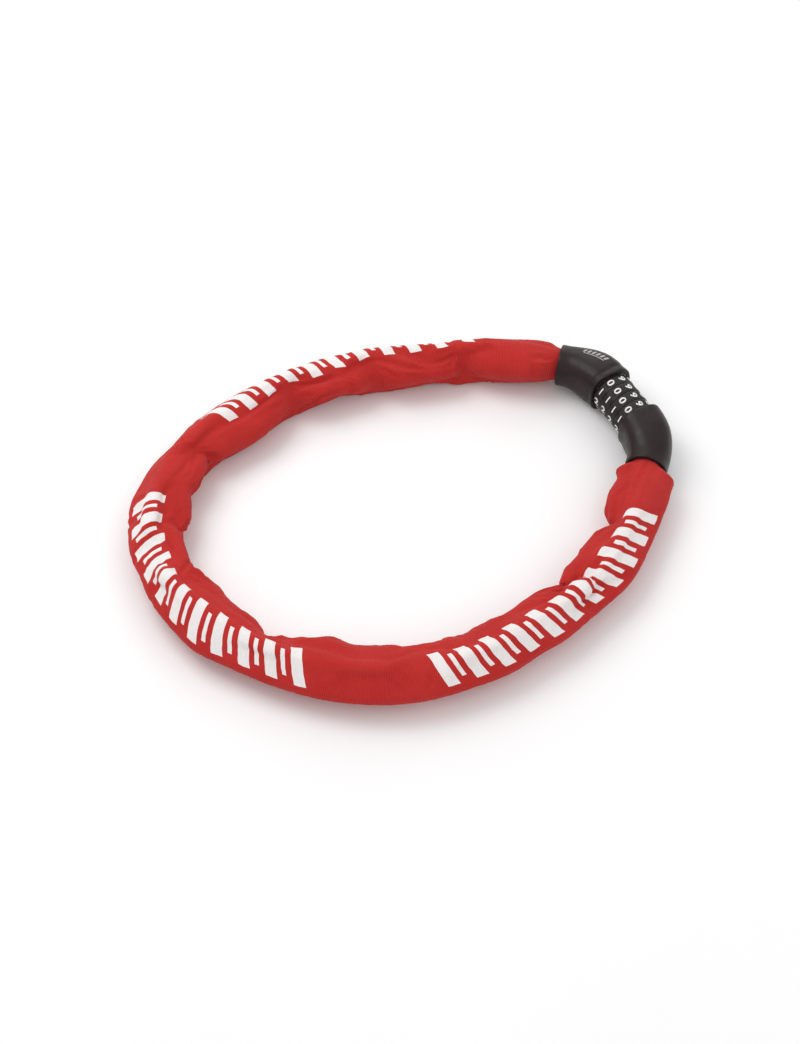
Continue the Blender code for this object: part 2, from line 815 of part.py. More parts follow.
def main():
    clear_scene()
    housing_cover("body_cover", -1)
    housing_cover("plug_cover", 1)
    body_core()
    plug_core()
    for name, sign in (("body", -1), ("plug", 1)):
        chain_pin(f"chain_pin_{name}", sign)
        sleeve_clamp(f"sleeve_clamp_{name}", sign)
    spindle()
    click_spring()
    dial_washer()
    for number in range(1, DIAL_COUNT + 1):
        dial(number)
        tumbler(number)
    reset_collar()
    collar_clip()
    bolt()
    bolt_pin()
    pivots, pitch = chain_pivots()
    for number in range(1, LINK_COUNT + 1):
        chain_link(number, pivots)
    stations = sleeve_stations(pivots, pitch)
    for number in range(1, len(SLEEVE_CUTS)):
        sleeve_segment(number, stations, pivots)


if __name__ == "__main__":
    main()
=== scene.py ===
import json
import math

import bmesh
import bpy
import numpy as np
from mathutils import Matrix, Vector


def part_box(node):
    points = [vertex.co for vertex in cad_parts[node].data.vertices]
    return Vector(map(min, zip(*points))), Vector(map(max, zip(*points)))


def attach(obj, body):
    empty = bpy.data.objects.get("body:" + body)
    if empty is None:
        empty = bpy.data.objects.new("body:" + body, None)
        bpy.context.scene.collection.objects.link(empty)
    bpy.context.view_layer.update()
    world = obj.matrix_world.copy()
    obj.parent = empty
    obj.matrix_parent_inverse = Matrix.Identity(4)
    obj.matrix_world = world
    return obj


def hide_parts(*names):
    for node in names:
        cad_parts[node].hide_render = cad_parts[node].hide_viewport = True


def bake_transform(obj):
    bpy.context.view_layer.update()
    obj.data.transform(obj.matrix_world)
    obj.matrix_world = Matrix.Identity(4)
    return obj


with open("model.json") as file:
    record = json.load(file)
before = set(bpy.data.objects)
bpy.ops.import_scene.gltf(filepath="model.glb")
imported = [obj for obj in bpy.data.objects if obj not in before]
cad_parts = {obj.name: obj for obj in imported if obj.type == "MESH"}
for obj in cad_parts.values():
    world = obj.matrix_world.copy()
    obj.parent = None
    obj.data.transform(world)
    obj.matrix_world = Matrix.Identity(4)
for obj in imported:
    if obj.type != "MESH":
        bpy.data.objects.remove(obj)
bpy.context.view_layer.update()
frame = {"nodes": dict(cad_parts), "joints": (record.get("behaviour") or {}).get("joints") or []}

JOINT = {j["name"]: Vector(j["pos_m"]) for j in frame["joints"] if "pos_m" in j}
NODES = frame["nodes"]
UP = Vector((0, 0, 1))
SCENE = bpy.context.scene

# ---- the lock's shape, as in the CAD source ---------------------------------------------------
BARREL_CENTRE = JOINT["dial_1_turn"]
AXIS_Z = BARREL_CENTRE.z
BARREL_ANGLE = math.radians(-61.0)
DIAL_COUNT = 4
DIAL_PITCH = 0.0078
DIAL_WIDTH = 0.0075
DIAL_RADIUS = 0.01325
DIAL_BORE = 0.0099
BARREL_HALF = DIAL_COUNT * DIAL_PITCH / 2
HOUSING_BEND = math.radians(46.0)
HOUSING_RADIUS = 0.042
HOUSING_MOUTH = 0.006
HOUSING_LENGTH = HOUSING_BEND * HOUSING_RADIUS + HOUSING_MOUTH
RIM_HALF = (0.0148, 0.0154)
MOUTH_HALF = (0.0131, 0.0130)
COVER_WALL = 0.0023
MOUTH_WALL = 0.0019
SQUARENESS = 2.7
LINK_COUNT = 23
GAP = 0.0003


def direction(angle):
    return Vector((math.cos(angle), math.sin(angle), 0))


def smooth(t):
    t = np.clip(t, 0.0, 1.0)
    return t * t * (3 - 2 * t)


def lock_frame(s):
    """Point and heading on the lock's centreline, s metres from the barrel's middle to the plug."""
    s = float(s)
    point = BARREL_CENTRE.copy()
    sign = 1 if s > 0 else -1
    rest = abs(s)
    straight = min(rest, BARREL_HALF)
    point = point + sign * straight * direction(BARREL_ANGLE)
    rest -= straight
    bend = min(rest / HOUSING_RADIUS, HOUSING_BEND)
    after = BARREL_ANGLE - sign * bend
    if bend > 0:
        side = Vector((math.sin(BARREL_ANGLE), -math.cos(BARREL_ANGLE), 0))
        side_after = Vector((math.sin(after), -math.cos(after), 0))
        point = point + HOUSING_RADIUS * (side - side_after)
    rest -= bend * HOUSING_RADIUS
    point = point + sign * max(rest, 0) * direction(after)
    return point, after


def mouth_frame(sign):
    """The mouth of the body (-1) or of the plug (+1), and the heading out of it."""
    point, heading = lock_frame(sign * (BARREL_HALF + HOUSING_LENGTH))
    return point, heading if sign > 0 else heading + math.pi


def middle(node):
    low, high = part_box(node)
    return (low + high) / 2


# ---- materials --------------------------------------------------------------------------------
def new_material(name, roughness, metallic):
    made = bpy.data.materials.new(name)
    made.use_nodes = True
    shader = made.node_tree.nodes["Principled BSDF"]
    shader.inputs["Roughness"].default_value = roughness
    shader.inputs["Metallic"].default_value = metallic
    return made, made.node_tree, shader


def node(tree, kind, inputs=(), **settings):
    """A shader node. inputs is a list of (socket, value or output socket)."""
    made = tree.nodes.new(kind)
    for key, value in settings.items():
        setattr(made, key, value)
    for socket, value in inputs:
        if isinstance(value, bpy.types.NodeSocket):
            tree.links.new(value, made.inputs[socket])
        else:
            made.inputs[socket].default_value = value
    return made


def calc(tree, operation, a, b=0.0, c=0.0, clamp=False):
    """One math node; its inputs are numbers or sockets."""
    made = node(
        tree, "ShaderNodeMath", [(0, a), (1, b), (2, c)], operation=operation, use_clamp=clamp
    )
    return made.outputs[0]


def noise(tree, place, scale, detail=3.0, roughness=0.55):
    inputs = [("Vector", place), ("Scale", scale), ("Detail", detail), ("Roughness", roughness)]
    return node(tree, "ShaderNodeTexNoise", inputs).outputs["Fac"]


def ramp(tree, value, low, high, from_low=0.0, from_high=1.0):
    inputs = [(0, value), (1, from_low), (2, from_high), (3, low), (4, high)]
    return node(tree, "ShaderNodeMapRange", inputs, clamp=True).outputs[0]


def mix_colour(tree, share, first, second):
    """Mixes two linear colours, each a triple or a socket."""
    made = node(tree, "ShaderNodeMix", [(0, share)], data_type="RGBA")
    for index, value in ((6, first), (7, second)):
        if isinstance(value, bpy.types.NodeSocket):
            tree.links.new(value, made.inputs[index])
        else:
            made.inputs[index].default_value = (*value, 1.0)
    return made.outputs[2]


def bump(tree, height, strength, distance):
    inputs = [("Height", height), ("Strength", strength), ("Distance", distance)]
    return node(tree, "ShaderNodeBump", inputs).outputs["Normal"]


def object_place(tree):
    return node(tree, "ShaderNodeTexCoord").outputs["Object"]


def moulded(name, dark, light, rough, grain, shine=0.35):
    """Moulded plastic: fine spark-eroded grain, faint handling marks, uneven gloss."""
    made, tree, shader = new_material(name, rough, 0.0)
    place = object_place(tree)
    blotch = noise(tree, place, 90.0, 4.0)
    colour = mix_colour(tree, ramp(tree, blotch, 0.0, 1.0, 0.35, 0.70), dark, light)
    tree.links.new(colour, shader.inputs["Base Color"])
    gloss = ramp(tree, noise(tree, place, 240.0, 3.0), rough - 0.07, rough + 0.09, 0.3, 0.7)
    tree.links.new(gloss, shader.inputs["Roughness"])
    fine = noise(tree, place, 2600.0, 2.0)
    coarse = noise(tree, place, 700.0, 2.0)
    height = calc(tree, "ADD", fine, calc(tree, "MULTIPLY", coarse, 0.6))
    tree.links.new(bump(tree, height, grain, 0.00006), shader.inputs["Normal"])
    shader.inputs["Specular IOR Level"].default_value = shine
    return made


def metal(name, colour, rough, worn, stretch=1.0):
    """Plated, cast or drawn metal: brushed grain, tarnish in patches, fine scratches."""
    made, tree, shader = new_material(name, rough, 1.0)
    place = object_place(tree)
    brushed = node(
        tree, "ShaderNodeMapping", [("Vector", place), ("Scale", (stretch, 1.0, 1.0))]
    ).outputs[0]
    patch = noise(tree, place, 140.0, 4.0)
    shade = mix_colour(tree, ramp(tree, patch, 0.0, 1.0, 0.35, 0.72), colour, worn)
    tree.links.new(shade, shader.inputs["Base Color"])
    grain = noise(tree, brushed, 1500.0, 4.0, 0.6)
    gloss = ramp(tree, grain, rough - 0.08, rough + 0.14, 0.3, 0.75)
    tree.links.new(gloss, shader.inputs["Roughness"])
    tree.links.new(bump(tree, grain, 0.35, 0.00005), shader.inputs["Normal"])
    return made


RIB_PITCH = 0.00105  # one rib of the weave across the sleeve
YARN_PITCH = 0.00062  # the yarns along it
PRINT_HALF = 0.0106  # half of the print's height
PRINT_PITCH = 0.0178
PRINT_SLANT = 0.42
PRINT_THICK = 0.42  # the wide bar's share of the pitch
PRINT_THIN = 0.70  # the middle of the thin bar, as a share of the pitch
PRINT_THIN_HALF = 0.08  # half of its width
PRINT_THIN_REACH = 0.62  # its height, as a share of the wide bar's
PRINT_MARGIN = 0.02  # how far a printed zone reaches past its end bars
RIB_WANDER = 0.0010
# the weave's red with painted shade where its ribs sink, and with painted light where they stand
# proud
RED_SUNK_PAINTED_SHADE = (0.360, 0.0135, 0.0120)
RED_PROUD_PAINTED_LIGHT = (0.560, 0.0300, 0.0260)
RED_FADED = (0.62, 0.046, 0.040)
INK = (0.86, 0.83, 0.82)


def woven_red(zones, print_at):
    """Red ribbed weave with a repeated white print. UV is metres round and along the cloth."""
    made, tree, shader = new_material("woven_red", 0.85, 0.0)
    uv = node(tree, "ShaderNodeUVMap", uv_map="weave").outputs[0]
    split = node(tree, "ShaderNodeSeparateXYZ", [(0, uv)])
    around, along = split.outputs[0], split.outputs[1]
    place = object_place(tree)
    wander = calc(tree, "MULTIPLY", noise(tree, place, 60.0, 2.0), RIB_WANDER)
    rib_at = calc(tree, "DIVIDE", calc(tree, "ADD", along, wander), RIB_PITCH)
    rib = calc(tree, "SINE", calc(tree, "MULTIPLY", rib_at, 2 * math.pi))
    yarn_at = calc(tree, "DIVIDE", around, YARN_PITCH)
    shift = calc(tree, "MULTIPLY", calc(tree, "FLOOR", rib_at), 0.5)
    yarn_turn = calc(tree, "MULTIPLY", calc(tree, "ADD", yarn_at, shift), 2 * math.pi)
    yarn = calc(tree, "SINE", yarn_turn)
    height = calc(tree, "ADD", rib, calc(tree, "MULTIPLY", yarn, 0.45))
    fuzz = noise(tree, place, 3200.0, 2.0)
    height = calc(tree, "ADD", height, calc(tree, "MULTIPLY", fuzz, 0.8))
    # painted shade and light: the rib height darkens the red in the sunk ribs and lightens it on
    # the proud ones
    light = ramp(tree, height, 0.0, 1.0, -1.2, 1.6)
    fade = noise(tree, place, 34.0, 3.0)
    base = mix_colour(tree, light, RED_SUNK_PAINTED_SHADE, RED_PROUD_PAINTED_LIGHT)
    worn = mix_colour(tree, ramp(tree, fade, 0.0, 0.35, 0.40, 0.75), base, RED_FADED)
    # the print: slanted bars, wide and thin by turns, the thin ones shorter
    across = calc(tree, "SUBTRACT", around, print_at)
    slanted = calc(tree, "ADD", along, calc(tree, "MULTIPLY", across, PRINT_SLANT))
    turn = calc(tree, "FRACT", calc(tree, "DIVIDE", slanted, PRINT_PITCH))
    thick = calc(tree, "LESS_THAN", turn, PRINT_THICK)
    from_thin = calc(tree, "ABSOLUTE", calc(tree, "SUBTRACT", turn, PRINT_THIN))
    thin = calc(tree, "LESS_THAN", from_thin, PRINT_THIN_HALF)
    reach = calc(tree, "ABSOLUTE", across)
    inside = calc(tree, "LESS_THAN", reach, PRINT_HALF)
    short = calc(tree, "LESS_THAN", reach, PRINT_HALF * PRINT_THIN_REACH)
    wide_bars = calc(tree, "MULTIPLY", thick, inside)
    bars = calc(tree, "MAXIMUM", wide_bars, calc(tree, "MULTIPLY", thin, short))
    zone = None
    for low, high in zones:
        past = calc(tree, "GREATER_THAN", slanted, low)
        before = calc(tree, "LESS_THAN", slanted, high)
        here = calc(tree, "MULTIPLY", past, before)
        zone = here if zone is None else calc(tree, "MAXIMUM", zone, here)
    ink = calc(tree, "MULTIPLY", bars, zone)
    # the ink is thin where the ribs sink
    inked = calc(tree, "ADD", height, calc(tree, "MULTIPLY", fade, 1.5))
    cover = ramp(tree, inked, 0.55, 1.0, -1.2, 0.6)
    share = calc(tree, "MULTIPLY", ink, cover)
    colour = mix_colour(tree, share, worn, INK)
    tree.links.new(colour, shader.inputs["Base Color"])
    tree.links.new(ramp(tree, light, 0.95, 0.78), shader.inputs["Roughness"])
    tree.links.new(bump(tree, height, 0.55, 0.00016), shader.inputs["Normal"])
    shader.inputs["Sheen Weight"].default_value = 0.06
    shader.inputs["Sheen Roughness"].default_value = 0.5
    shader.inputs["Specular IOR Level"].default_value = 0.12
    return made


HOUSING_BLACK = moulded(
    "housing_black", (0.0150, 0.0088, 0.0080), (0.0230, 0.0145, 0.0135), 0.36, 0.35, 0.24
)
DIAL_BLACK = moulded(
    "dial_black_visual", (0.012, 0.010, 0.0095), (0.022, 0.017, 0.016), 0.40, 0.5, 0.24
)
PRINT_WHITE = moulded("print_white", (0.78, 0.77, 0.75), (0.90, 0.89, 0.87), 0.55, 0.4)
PRINT_GREY = moulded("print_grey", (0.34, 0.33, 0.32), (0.46, 0.45, 0.44), 0.50, 0.4)
CAST_ZINC = metal("cast_zinc", (0.42, 0.42, 0.43), 0.46, (0.30, 0.30, 0.31))
PLATED_STEEL = metal("plated_steel_visual", (0.46, 0.45, 0.43), 0.33, (0.36, 0.35, 0.32), 6.0)
BRASS = metal("brass_visual", (0.70, 0.52, 0.24), 0.34, (0.52, 0.36, 0.15), 3.0)
SPRING = metal("spring_visual", (0.36, 0.37, 0.39), 0.33, (0.26, 0.26, 0.28), 5.0)
CHAIN = metal("chain_visual", (0.40, 0.40, 0.41), 0.38, (0.26, 0.25, 0.24))


# ---- mesh helpers -----------------------------------------------------------------------------
def mesh_object(name, vertices, faces, look, smooth_angle=None):
    mesh = bpy.data.meshes.new(name)
    mesh.from_pydata([tuple(v) for v in vertices], [], faces)
    mesh.update()
    mesh.materials.append(look)
    mesh.shade_smooth()
    if smooth_angle:
        mesh.set_sharp_from_angle(angle=math.radians(smooth_angle))
    made = bpy.data.objects.new(name, mesh)
    SCENE.collection.objects.link(made)
    return made


def square(half):
    return [(-half, -half, 0), (half, -half, 0), (half, half, 0), (-half, half, 0)]


def grid_quads(rows, columns, close_rows=False):
    """Faces of a grid of closed rings; close_rows joins the last ring to the first."""
    faces = []
    for i in range(rows if close_rows else rows - 1):
        below, above = i * columns, (i + 1) % rows * columns
        for j in range(columns):
            k = (j + 1) % columns
            faces.append((below + j, below + k, above + k, above + j))
    return faces


def bmesh_object(name, bm, look):
    """Turns a bmesh into an object, and frees it."""
    mesh = bpy.data.meshes.new(name)
    bm.to_mesh(mesh)
    bm.free()
    mesh.materials.append(look)
    made = bpy.data.objects.new(name, mesh)
    SCENE.collection.objects.link(made)
    return made


def outward(made):
    """Turns a closed mesh's faces outwards."""
    bm = bmesh.new()
    bm.from_mesh(made.data)
    bmesh.ops.recalc_face_normals(bm, faces=bm.faces)
    bm.to_mesh(made.data)
    bm.free()
    return made


# ---- housings ---------------------------------------------------------------------------------
COVER_SIDES = 96
COVER_RINGS = 56
BORE_RINGS = 24
EDGE = 0.0009  # the radius of the rounded ends
EDGE_RINGS = 5
LIP_AT = 0.0046  # where a shallow hollow behind the rim is deepest
LIP_WIDTH = 0.0018
LIP_DEPTH = 0.00040
SECTION_CHANGE = (0.30, 0.60)  # where the section starts to change, and over what share
WALL_CHANGE = (0.5, 0.4)  # the same for the wall


def housing_half(distance):
    """Half width, half height and squareness of a housing's section."""
    start, share = SECTION_CHANGE
    t = float(smooth((distance / HOUSING_LENGTH - start) / share))
    half = [rim + (mouth - rim) * t for rim, mouth in zip(RIM_HALF, MOUTH_HALF)]
    return half[0], half[1], SQUARENESS + (2.0 - SQUARENESS) * t


def cover_wall(distance):
    start, share = WALL_CHANGE
    t = float(smooth((distance / HOUSING_LENGTH - start) / share))
    return COVER_WALL + (MOUTH_WALL - COVER_WALL) * t


def cover_point(sign, distance, angle, shrink):
    """A point of a housing, `distance` from its rim, with the section drawn in by `shrink`."""
    point, heading = lock_frame(sign * (BARREL_HALF + distance))
    width, height, exponent = housing_half(distance)
    width, height = width - shrink, height - shrink
    c, s = math.cos(angle), math.sin(angle)
    reach = (abs(c / width) ** exponent + abs(s / height) ** exponent) ** (-1 / exponent)
    side = Vector((-math.sin(heading), math.cos(heading), 0))
    made = point + reach * c * side + reach * s * UP
    made.z = max(made.z, 0.0)
    return made


def outer_shrink(sign, distance):
    """Rounded ends, and on the body the shallow hollow that leaves a lip at the rim."""
    hollow = 0.0
    if sign < 0:
        hollow = LIP_DEPTH * math.exp(-(((distance - LIP_AT) / LIP_WIDTH) ** 2))
    near = min(distance - GAP, HOUSING_LENGTH - distance)
    if near < EDGE:
        return hollow + EDGE - math.sqrt(max(EDGE**2 - (EDGE - near) ** 2, 0))
    return hollow


def cover(name, sign):
    """A housing's moulded cover: an open shell with rounded ends."""
    start, stop = GAP, HOUSING_LENGTH
    quarter = [math.pi / 2 * i / EDGE_RINGS for i in range(EDGE_RINGS + 1)]
    rounding = [EDGE * (1 - math.cos(turn)) for turn in quarter]
    between = list(np.linspace(start + EDGE, stop - EDGE, COVER_RINGS))
    outer = [start + r for r in rounding] + between[1:-1] + [stop - r for r in rounding[::-1]]
    inner = list(np.linspace(stop, start, BORE_RINGS))
    angles = [2 * math.pi * (j + 0.5) / COVER_SIDES for j in range(COVER_SIDES)]
    vertices = []
    for distance in outer:
        vertices += [cover_point(sign, distance, a, outer_shrink(sign, distance)) for a in angles]
    for distance in inner:
        vertices += [cover_point(sign, distance, a, cover_wall(distance)) for a in angles]
    faces = grid_quads(len(outer) + len(inner), COVER_SIDES, close_rows=True)
    return outward(mesh_object(name, vertices, faces, HOUSING_BLACK, 40))


PATCH_LIFT = 0.00006  # how far a printed patch stands over its cover
PATCH_SINK = 0.00004


def cover_patch(name, sign, distances, angles, look, slant=0.0):
    """A thin printed patch on a housing, between two distances and two section angles."""
    columns, rows = 24, 6
    vertices = []
    for lift in (PATCH_LIFT, -PATCH_SINK):
        for i in range(rows + 1):
            angle = angles[0] + (angles[1] - angles[0]) * i / rows
            for j in range(columns + 1):
                distance = distances[0] + (distances[1] - distances[0]) * j / columns
                distance += slant * i / rows
                shrink = outer_shrink(sign, distance) - lift
                vertices.append(cover_point(sign, distance, angle, shrink))
    count = (rows + 1) * (columns + 1)
    faces = []
    for i in range(rows):
        for j in range(columns):
            a = i * (columns + 1) + j
            b, c, d = a + 1, a + columns + 2, a + columns + 1
            faces += [(a, b, c, d), (count + d, count + c, count + b, count + a)]
    # the rim's points in order, for the narrow faces round the patch
    ring = list(range(columns))
    ring += [i * (columns + 1) + columns for i in range(rows)]
    ring += [rows * (columns + 1) + j for j in range(columns, 0, -1)]
    ring += [i * (columns + 1) for i in range(rows, 0, -1)]
    for a, b in zip(ring, ring[1:] + ring[:1]):
        faces.append((b, a, count + a, count + b))
    return outward(mesh_object(name, vertices, faces, look))


def join(name, parts):
    """One object out of several with the same material."""
    bm = bmesh.new()
    for part in parts:
        bm.from_mesh(part.data)
    made = bmesh_object(name, bm, parts[0].data.materials[0])
    for part in parts:
        bpy.data.objects.remove(part)
    return made


MARK_START = 0.0105  # from the body's rim
MARK_PITCH = 0.0027
MARK_WIDTH = 0.0014
MARK_COUNT = 6
MARK_SLANT = 0.0010
# between which section angles the bars and the line lie; 0 is the outer side, 90 is up
MARK_BARS = (math.radians(64.0), math.radians(76.0))
MARK_LINE = (math.radians(79.0), math.radians(81.0))


def housings():
    for name, sign, body in (("body", -1, "lock_body"), ("plug", 1, "plug")):
        made = cover(f"{name}_housing", sign)
        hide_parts(f"{name}_cover")
        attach(made, body)
    # a plain printed mark on the body: equal slanted bars over a thin line, no lettering
    bars = []
    for i in range(MARK_COUNT):
        start = MARK_START + MARK_PITCH * i
        ends = (start, start + MARK_WIDTH)
        bars.append(cover_patch(f"bar_{i}", -1, ends, MARK_BARS, PRINT_GREY, MARK_SLANT))
    line_end = MARK_START + MARK_PITCH * (MARK_COUNT - 1) + MARK_WIDTH
    line_ends = (MARK_START + MARK_SLANT, line_end)
    bars.append(cover_patch("line", -1, line_ends, MARK_LINE, PRINT_GREY))
    mark = join("body_mark", bars)
    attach(mark, "lock_body")


# ---- dials ------------------------------------------------------------------------------------
DIAL_SIDES = 240
DIAL_STATIONS = 21
DIAL_CROWN = 0.00030  # how far the skin falls away at the dial's ends
GROOVES = (0.36, 0.43, 0.50)  # their places between two digits, in steps from a digit
GROOVE_DEPTH = 0.00028
GROOVE_WIDTH = 0.00022
DIGIT_HEIGHT = 0.0047
DIGIT_WIDTH = 0.0039
DIGIT_LIFT = 0.00012
DIGIT_SINK = 0.00008
DIGIT_SLICE = 0.0004  # a digit is cut this fine, to bend round its dial
DIGIT_BOLD = 0.018
DIGIT_STEP = math.radians(36.0)
BAR_WIDTH = 0.00080  # the 1 is a plain bar
# how far each dial's 0 stands from the top towards the inner side; the row is not quite straight
READ_TURNS = [math.radians(turn) for turn in (16.0, 16.0, 22.0, 26.0)]


def dial_radius(number, x, angle):
    """The dial's skin: crowned along the axis, with three fine grooves between the digits."""
    half = DIAL_WIDTH / 2
    crown = DIAL_CROWN * abs(x / half) ** 6
    # 0 on a digit, 0.5 between two
    turn = ((angle - READ_TURNS[number - 1]) / DIGIT_STEP + 0.5) % 1.0 - 0.5
    groove = 0.0
    for at in GROOVES:
        away = (abs(turn) - at) * DIGIT_STEP * DIAL_RADIUS
        groove = max(groove, GROOVE_DEPTH * math.exp(-((away / GROOVE_WIDTH) ** 2)))
    fade = 1.0 - abs(x / half) ** 8
    return DIAL_RADIUS - crown - groove * fade


def barrel_point(x, radius, angle):
    """A point by distance along the barrel, radius and turn; angle 0 is up, + to the inner side."""
    x, radius = float(x), float(radius)
    axis = direction(BARREL_ANGLE)
    inner = Vector((axis.y, -axis.x, 0))
    return BARREL_CENTRE + x * axis + radius * (math.cos(angle) * UP + math.sin(angle) * inner)


def dial_centre(number):
    return -BARREL_HALF + (number - 0.5) * DIAL_PITCH


def dial_mesh(number):
    centre = dial_centre(number)
    half = DIAL_WIDTH / 2
    stations = [half * math.sin(math.pi / 2 * t) for t in np.linspace(-1, 1, DIAL_STATIONS)]
    vertices = []
    for x in stations:
        for j in range(DIAL_SIDES):
            angle = 2 * math.pi * j / DIAL_SIDES
            vertices.append(barrel_point(centre + x, dial_radius(number, x, angle), angle))
    for x in (half, -half):
        for j in range(DIAL_SIDES):
            vertices.append(barrel_point(centre + x, DIAL_BORE, 2 * math.pi * j / DIAL_SIDES))
    faces = grid_quads(len(stations) + 2, DIAL_SIDES, close_rows=True)
    return outward(mesh_object(f"number_ring_{number}", vertices, faces, DIAL_BLACK, 50))


def digit_outline(value):
    """A digit one unit thick, its height along +y and its middle on the origin."""
    bm = bmesh.new()
    if value == 1:
        for x, y in ((-1, -1), (1, -1), (1, 1), (-1, 1)):
            bm.verts.new((x * BAR_WIDTH / 2, y * DIGIT_HEIGHT / 2, 0))
        bm.faces.new(bm.verts)
    else:
        curve = bpy.data.curves.new("digit", "FONT")
        curve.body = str(value)
        curve.offset = DIGIT_BOLD
        text = bpy.data.objects.new("digit", curve)
        SCENE.collection.objects.link(text)
        bpy.context.view_layer.update()
        mesh = bpy.data.meshes.new_from_object(
            text.evaluated_get(bpy.context.evaluated_depsgraph_get())
        )
        bm.from_mesh(mesh)
        bpy.data.objects.remove(text)
        xs = [v.co.x for v in bm.verts]
        ys = [v.co.y for v in bm.verts]
        for v in bm.verts:
            v.co.x = ((v.co.x - min(xs)) / (max(xs) - min(xs)) - 0.5) * DIGIT_WIDTH
            v.co.y = ((v.co.y - min(ys)) / (max(ys) - min(ys)) - 0.5) * DIGIT_HEIGHT
            v.co.z = 0.0
    bmesh.ops.remove_doubles(bm, verts=bm.verts, dist=0.00002)
    y = -DIGIT_HEIGHT / 2 + DIGIT_SLICE
    while y < DIGIT_HEIGHT / 2:
        geometry = bm.verts[:] + bm.edges[:] + bm.faces[:]
        bmesh.ops.bisect_plane(bm, geom=geometry, plane_co=(0, y, 0), plane_no=(0, 1, 0))
        y += DIGIT_SLICE
    top = bmesh.ops.extrude_face_region(bm, geom=bm.faces[:])
    for item in top["geom"]:
        if isinstance(item, bmesh.types.BMVert):
            item.co.z = 1.0
    bmesh.ops.recalc_face_normals(bm, faces=bm.faces)
    return bm


def digits(number):
    """The ten digits of one dial as one thin raised print."""
    centre = dial_centre(number)
    whole = bmesh.new()
    for value in range(10):
        bm = digit_outline(value)
        for v in bm.verts:
            # digits read along the barrel; their tops point to the loop's outer side
            facing = READ_TURNS[number - 1] + value * DIGIT_STEP
            angle = facing - v.co.y / DIAL_RADIUS
            base = dial_radius(number, v.co.x, facing)
            radius = base + DIGIT_LIFT * v.co.z - DIGIT_SINK * (1 - v.co.z)
            v.co = barrel_point(centre + v.co.x, radius, angle)
        mesh = bpy.data.meshes.new("digit")
        bm.to_mesh(mesh)
        bm.free()
        whole.from_mesh(mesh)
    bmesh.ops.recalc_face_normals(whole, faces=whole.faces)
    return bmesh_object(f"digits_{number}", whole, PRINT_WHITE)


def dials():
    for number in range(1, DIAL_COUNT + 1):
        ring = dial_mesh(number)
        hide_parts(f"dial_{number}")
        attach(ring, f"number_dial_{number}")
        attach(digits(number), f"number_dial_{number}")


# ---- sleeve -----------------------------------------------------------------------------------
CLOTH_ROUND = 0.098  # the woven tube's own circumference
RING_STEP = 0.0026
RING_SIDES = 40
LINE_STEPS = 40  # points of the centreline between two knots
LINE_PAST = 0.020  # how far the centreline's first and last knots lie behind the mouths
TUCK = 0.006  # how far the cloth goes into each mouth
MOUTH_EDGE = 0.0002  # where the cloth starts to widen, past the mouth
CLAMP_SHORT = 0.0003  # the clamped ends stop this far inside the mouths
END_RADIUS = 0.0100
START_HALF = (0.0188, 0.0118)  # the flattened tube's half width and half height at the start
FLAT_HALF = (0.0201, 0.0101)  # the same for the cloth at rest
END_TAPER = 0.0030  # how soon the cloth at rest is at its full width
OUTER_REACH = 0.0175  # how far the ring's outer side is from the centreline
START_CLEAR = 0.0008  # the least height over the floor, at the start and when settled
FLOOR_CLEAR = 0.0005
SLACK = 1.012  # the cloth's length by that of the outer side
UNEVEN = 0.00012  # how rough the start is, so that the folds aren't regular
SIM_SCALE = 10.0  # the solver works best on a cloth about a metre long
SIM_FRAMES = 30
FINER = 2
SEED = 7
# where the cloth puckers (+) or bulges (-) on its inner side: distance along it, size, width
PUCKERS = [
    (0.026, -0.5, 0.012),
    (0.068, 1.3, 0.010),
    (0.090, 0.5, 0.006),
    (0.128, 0.8, 0.008),
    (0.150, 0.9, 0.005),
    (0.184, 1.2, 0.009),
    (0.218, -0.6, 0.013),
    (0.262, 1.2, 0.010),
    (0.288, 0.7, 0.006),
    (0.310, -0.4, 0.008),
    (0.338, 1.4, 0.007),
    (0.353, 0.8, 0.006),
    (0.382, -0.3, 0.010),
    (0.433, 1.1, 0.007),
    (0.449, 0.9, 0.006),
    (0.472, -0.6, 0.010),
    (0.529, 1.1, 0.013),
    (0.556, 0.3, 0.007),
    (0.590, 0.4, 0.006),
    (0.634, 1.3, 0.008),
    (0.655, 0.5, 0.006),
    (0.692, 1.3, 0.006),
    (0.728, 0.5, 0.006),
]
PUCKER_DEPTH = 0.0068
PUCKER_MOST = 1.4  # the deepest that puckers add up to
# where the outer edge stands out (+) or is drawn in (-): distance along it, metres, width
OUTER_WAVES = [
    (0.050, 0.0013, 0.012),
    (0.110, -0.0022, 0.012),
    (0.165, 0.0012, 0.014),
    (0.200, 0.0012, 0.012),
    (0.262, -0.0014, 0.014),
    (0.305, 0.0014, 0.012),
    (0.348, -0.0024, 0.012),
    (0.402, 0.0024, 0.014),
    (0.500, 0.0016, 0.034),
    (0.592, -0.0016, 0.012),
    (0.660, 0.0014, 0.016),
]
OUTER_HOLD = 0.5  # how firmly the outer edge keeps its place while the rest settles
INNER_HOLD = 0.15  # the same for the inner edge
HELD_EDGE = math.cos(math.radians(18))  # within 18 degrees of the outer or the inner side
BODY_FLARE = 0.0090  # how soon the cloth is at its full width past each mouth
PLUG_FLARE = 0.0034
# by share of the length: how far the flat tube tips outward, and the cloth's own twist, degrees
TIP = ((0.0, 0.12, 0.30, 0.45), (-26, -24, -8, 0))
TWIST = ((0.0, 0.09, 0.20, 0.28, 0.40, 0.55, 0.70, 1.0), (6, 10, 20, 22, 9, 3, 8, 8))
ZONES = [(0.066, 0.228), (0.300, 0.462), (0.536, 0.700)]  # printed stretches, along the centreline
PRINT_AT = CLOTH_ROUND * 0.405  # where the print's middle is, round the cloth


